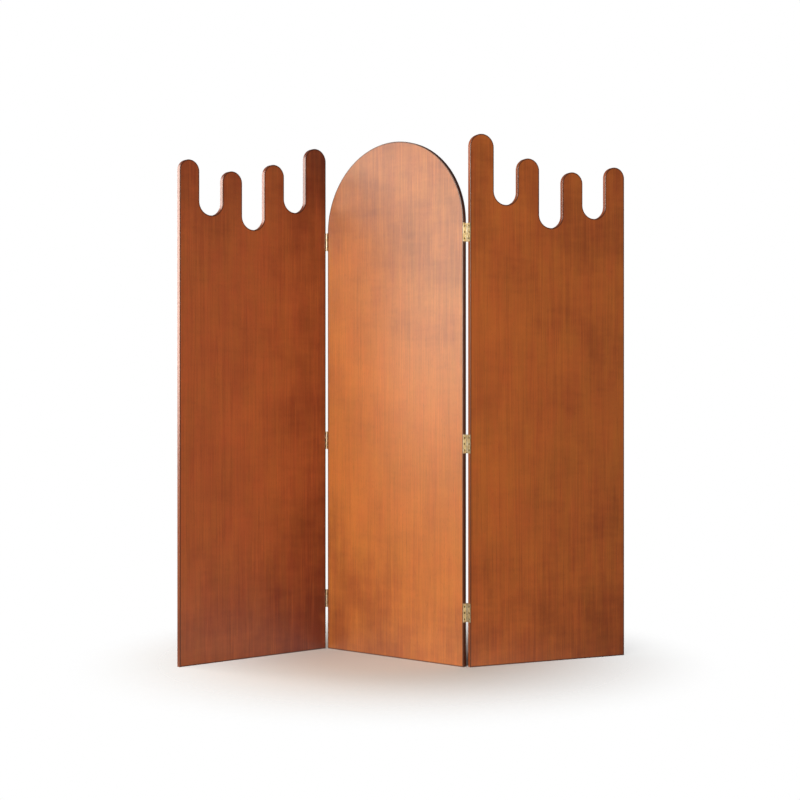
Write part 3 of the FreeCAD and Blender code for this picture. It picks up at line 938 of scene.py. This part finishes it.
def shaded_stain(tree, patterns, painted_shade, middle):
    """The stain, dark where clouds gather and pale elsewhere, with its hue adrift, and darkened
    further by painted shade.
    """
    tone = weighted_sum(tree, patterns, TONE_WEIGHTS)
    # Painted shade deepens the tone.
    shaded_tone = add(tree, "ShaderNodeMath", {"operation": "MULTIPLY_ADD"},
                 {0: painted_shade, 1: -SHADE_DEPTH, 2: tone})
    stain = add(tree, "ShaderNodeValToRGB", None, {"Fac": shaded_tone.outputs[0]},
                [(0.05, colour(STAIN_DARK)), (0.44, shade(middle, 0.88)),
                 (0.56, middle), (0.8, shade(middle, 1.2))])
    hue_turn = add(tree, "ShaderNodeMapRange", None,
                   {"Value": patterns["drift"], "From Min": NOISE_LOW, "From Max": NOISE_HIGH,
                    "To Min": HUE_AS_IS - HUE_DRIFT, "To Max": HUE_AS_IS + HUE_DRIFT})
    drifted = add(tree, "ShaderNodeHueSaturation", None,
                  {"Hue": hue_turn.outputs["Result"], "Color": stain.outputs["Color"]})
    return drifted.outputs["Color"]


def with_marks(tree, laid, patterns, edge, edge_stain_and_shade, middle):
    """Lays dark lines, pale lines and pores over the stain, and then the darker edges, partly
    soaked stain and partly painted shade.
    """
    marks = [
        (patterns["lines"], colour(STAIN_DARK),
         [(0.43, grey(0)), (0.47, grey(0.17)), (0.5, grey(0)), (1.0, grey(0))]),
        (patterns["lines"], shade(middle, 1.35),
         [(0.52, grey(0)), (0.56, grey(0.18)), (0.6, grey(0)), (1.0, grey(0))]),
        (patterns["pores"], colour(PORE_DARK),
         [(0.28, grey(0.3)), (0.36, grey(0)), (1.0, grey(0))]),
        # Darker edges: partly soaked stain, partly painted shade.
        (edge, colour(EDGE_STAIN_AND_SHADE),
         [(0.0, grey(0)), (0.2, grey(0.75)), (0.7, grey(0.85)), (1.0, grey(edge_stain_and_shade))]),
    ]
    for value, hue, stops in marks:
        mask = add(tree, "ShaderNodeValToRGB", None, {"Fac": value}, stops)
        laid = add(tree, "ShaderNodeMix", {"data_type": "RGBA"},
                   {"Factor": mask.outputs["Color"], 6: laid, 7: hue}).outputs[2]
    return laid


print("stain goes down to", STAIN_DARK, "and to", EDGE_STAIN_AND_SHADE, "in the edges")

# %% Satin varnish over stained cherry
VARNISH_IOR = 1.55
SATIN_ROUGH = 0.39
SATIN_SMOOTH = 0.33
EDGE_ROUGHNESS = 0.34
COAT_ROUGHNESS = 0.36
RELIEF_WEIGHTS = {"grain": 0.6, "pores": 0.5}
RELIEF_DEPTH = 0.2 * MM
FACE_RELIEF = 0.25
EDGE_RELIEF = 0.01
# Stain, slant of the painted shade, its reach at the foot, its weight along the side and at the
# head, how far the edges are darkened by stain and painted shade, and where in the noise the board
# is cut.
BOARD_STAINS = {
    "centre": ("#D47A32", 0.6, 850 * MM, 0.0, 1.55, 0.9, 3.0),
    "left": ("#CE6A32", -0.4, 500 * MM, 1.5, 1.6, 0.5, 17.0),
    "right": ("#E07630", 0.0, 450 * MM, 0.3, 0.9, 0.3, 41.0),
}


def varnished(tree, hue, patterns, edge):
    """A clear coat whose sheen and faint relief follow the grain, and fade out on the edges."""
    satin = add(tree, "ShaderNodeMapRange", None,
                {"Value": patterns["grain"], "From Min": NOISE_LOW, "From Max": NOISE_HIGH,
                 "To Min": SATIN_ROUGH, "To Max": SATIN_SMOOTH})
    gloss = add(tree, "ShaderNodeMix", {"data_type": "FLOAT"},
                {"Factor": edge, 2: satin.outputs["Result"], 3: EDGE_ROUGHNESS})
    depth = add(tree, "ShaderNodeMapRange", None,
                {"Value": edge, "From Max": RIM_VALUE,
                 "To Min": FACE_RELIEF, "To Max": EDGE_RELIEF})
    bump = add(tree, "ShaderNodeBump", None,
               {"Strength": depth.outputs["Result"], "Distance": RELIEF_DEPTH,
                "Height": weighted_sum(tree, patterns, RELIEF_WEIGHTS)})
    return add(tree, "ShaderNodeBsdfPrincipled", None,
               {"Base Color": hue, "Roughness": gloss.outputs[0], "IOR": VARNISH_IOR,
                "Coat Weight": 1.0, "Coat Roughness": COAT_ROUGHNESS, "Coat IOR": VARNISH_IOR,
                "Normal": bump.outputs["Normal"], "Coat Normal": bump.outputs["Normal"]})


# Stained and varnished cherry: a deep red-brown under a soft sheen, with streaks up the board,
# and painted shade at the foot, the head, one side and the edges.
def stained_cherry(name, stain_hex, slant, foot_shade_reach, side_shade, head_shade, edge_stain_and_shade, seed):
    material, tree = new_material(f"stained_cherry_{name}")
    coords = add(tree, "ShaderNodeTexCoord").outputs["Object"]
    board = add(tree, "ShaderNodeMapping", {"vector_type": "TEXTURE"},
                {"Vector": coords, "Location": BOARD_PLACES[name].to_translation(),
                 "Rotation": (0, 0, BOARD_TURNS[name])}).outputs["Vector"]
    edge = add(tree, "ShaderNodeAttribute", {"attribute_name": "edge"}).outputs["Fac"]
    patterns = patterns_in(tree, board, VENEER, seed + 1)
    painted_shade = painted_shade_by_place(tree, board, slant, foot_shade_reach, side_shade, head_shade)
    middle = colour(stain_hex)
    hue = with_marks(tree, shaded_stain(tree, patterns, painted_shade, middle), patterns, edge, edge_stain_and_shade, middle)
    shader = varnished(tree, hue, patterns, edge)
    add(tree, "ShaderNodeOutputMaterial", None, {"Surface": shader.outputs["BSDF"]})
    return material


for name, board in boards.items():
    wood = stained_cherry(name, *BOARD_STAINS[name])
    board.data.materials.clear()
    board.data.materials.append(wood)
    print(wood.name, len(wood.node_tree.nodes), "nodes")

# %% [markdown]
# ## Brass
# The hinges are rolled from sheet brass with a satin polish, then handled and left to tarnish a
# little: the colour drifts from cream to dull gold and the shine is uneven. Corners and seams are
# darkened, partly as grime and partly as painted shade. The screws are coloured nearly brown as a
# painted shade of their holes, so that they show as dots on the leaves. One flat gold would do from
# afar, but close to it would look like paint.

# %% Polished brass
# As for the veneer. Real scratches are far finer, and are drawn as coarse as it takes to show them.
BRASS = {
    "tarnish": (9 * MM, 9 * MM, 4.0, 0.55),
    "scratches": (0.4 * MM, 12 * MM, 2.0, 0.55),
}
BRASS_WEIGHTS = {"tarnish": 0.9, "scratches": 0.3}
BRASS_DULL = 0.6
BRASS_SHINY = 0.44
SCRATCH_DEPTH = 0.05 * MM
SCRATCH_STRENGTH = 0.15
GRIME_AND_SHADE_REACH = 6 * MM
GRIME_AND_SHADE_SAMPLES = 8
GRIME_AND_SHADE_DARK = "#2A1C0C"


# Brass with a worn polish: a warm metal sheen, mottled with tarnish, and darkened in the corners
# by grime and painted shade.
def polished_brass(name, bright, dull, seed):
    material, tree = new_material(name)
    coords = add(tree, "ShaderNodeTexCoord").outputs["Object"]
    patterns = patterns_in(tree, coords, BRASS, seed)
    tone = weighted_sum(tree, patterns, BRASS_WEIGHTS)
    polish = add(tree, "ShaderNodeValToRGB", None, {"Fac": tone},
                 [(0.3, colour(dull)), (0.6, colour(bright)), (1.0, colour(bright))])
    # Grime and painted shade: the colour darkens where other surfaces close in.
    corner_occlusion = add(tree, "ShaderNodeAmbientOcclusion", {"samples": GRIME_AND_SHADE_SAMPLES},
                   {"Distance": GRIME_AND_SHADE_REACH})
    grime_and_shade = add(tree, "ShaderNodeValToRGB", None, {"Fac": corner_occlusion.outputs["AO"]},
                [(0.35, grey(0.85)), (0.75, grey(0))])
    hue = add(tree, "ShaderNodeMix", {"data_type": "RGBA"},
              {"Factor": grime_and_shade.outputs["Color"], 6: polish.outputs["Color"], 7: colour(GRIME_AND_SHADE_DARK)})
    gloss = add(tree, "ShaderNodeMapRange", None,
                {"Value": tone, "To Min": BRASS_DULL, "To Max": BRASS_SHINY})
    bump = add(tree, "ShaderNodeBump", None,
               {"Strength": SCRATCH_STRENGTH, "Distance": SCRATCH_DEPTH,
                "Height": patterns["scratches"]})
    shader = add(tree, "ShaderNodeBsdfPrincipled", None,
                 {"Base Color": hue.outputs[2], "Metallic": 1.0,
                  "Roughness": gloss.outputs["Result"], "Normal": bump.outputs["Normal"]})
    add(tree, "ShaderNodeOutputMaterial", None, {"Surface": shader.outputs["BSDF"]})
    return material


hinge_brass = polished_brass("polished_hinge_brass", "#FFF6DE", "#DEC690", 5.0)
# Painted shade: the screws are coloured nearly brown so that they show as the dark holes in the
# leaves.
screw_shade_brass = polished_brass("screw_brass_painted_shade", "#403018", "#22180C", 9.0)
hinge_pins = [node for name, node in frame["nodes"].items() if name.endswith("hinge_pin")]
for pieces, brass in ((hinge_leaves + hinge_pins, hinge_brass), (hinge_screws, screw_shade_brass)):
    for piece in pieces:
        piece.data.materials.clear()
        piece.data.materials.append(brass)
    print(brass.name, "on", len(pieces), "pieces")

# %% [markdown]
# ## Size
# The dressed screen has to be as large as the construction model, so both boxes are written down.

# %% Measure the sizes
visual_low, visual_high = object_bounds()
growth = (visual_high - visual_low) - (cad_high - cad_low)
print("grown by", [round(side / MM, 2) for side in growth], "mm")
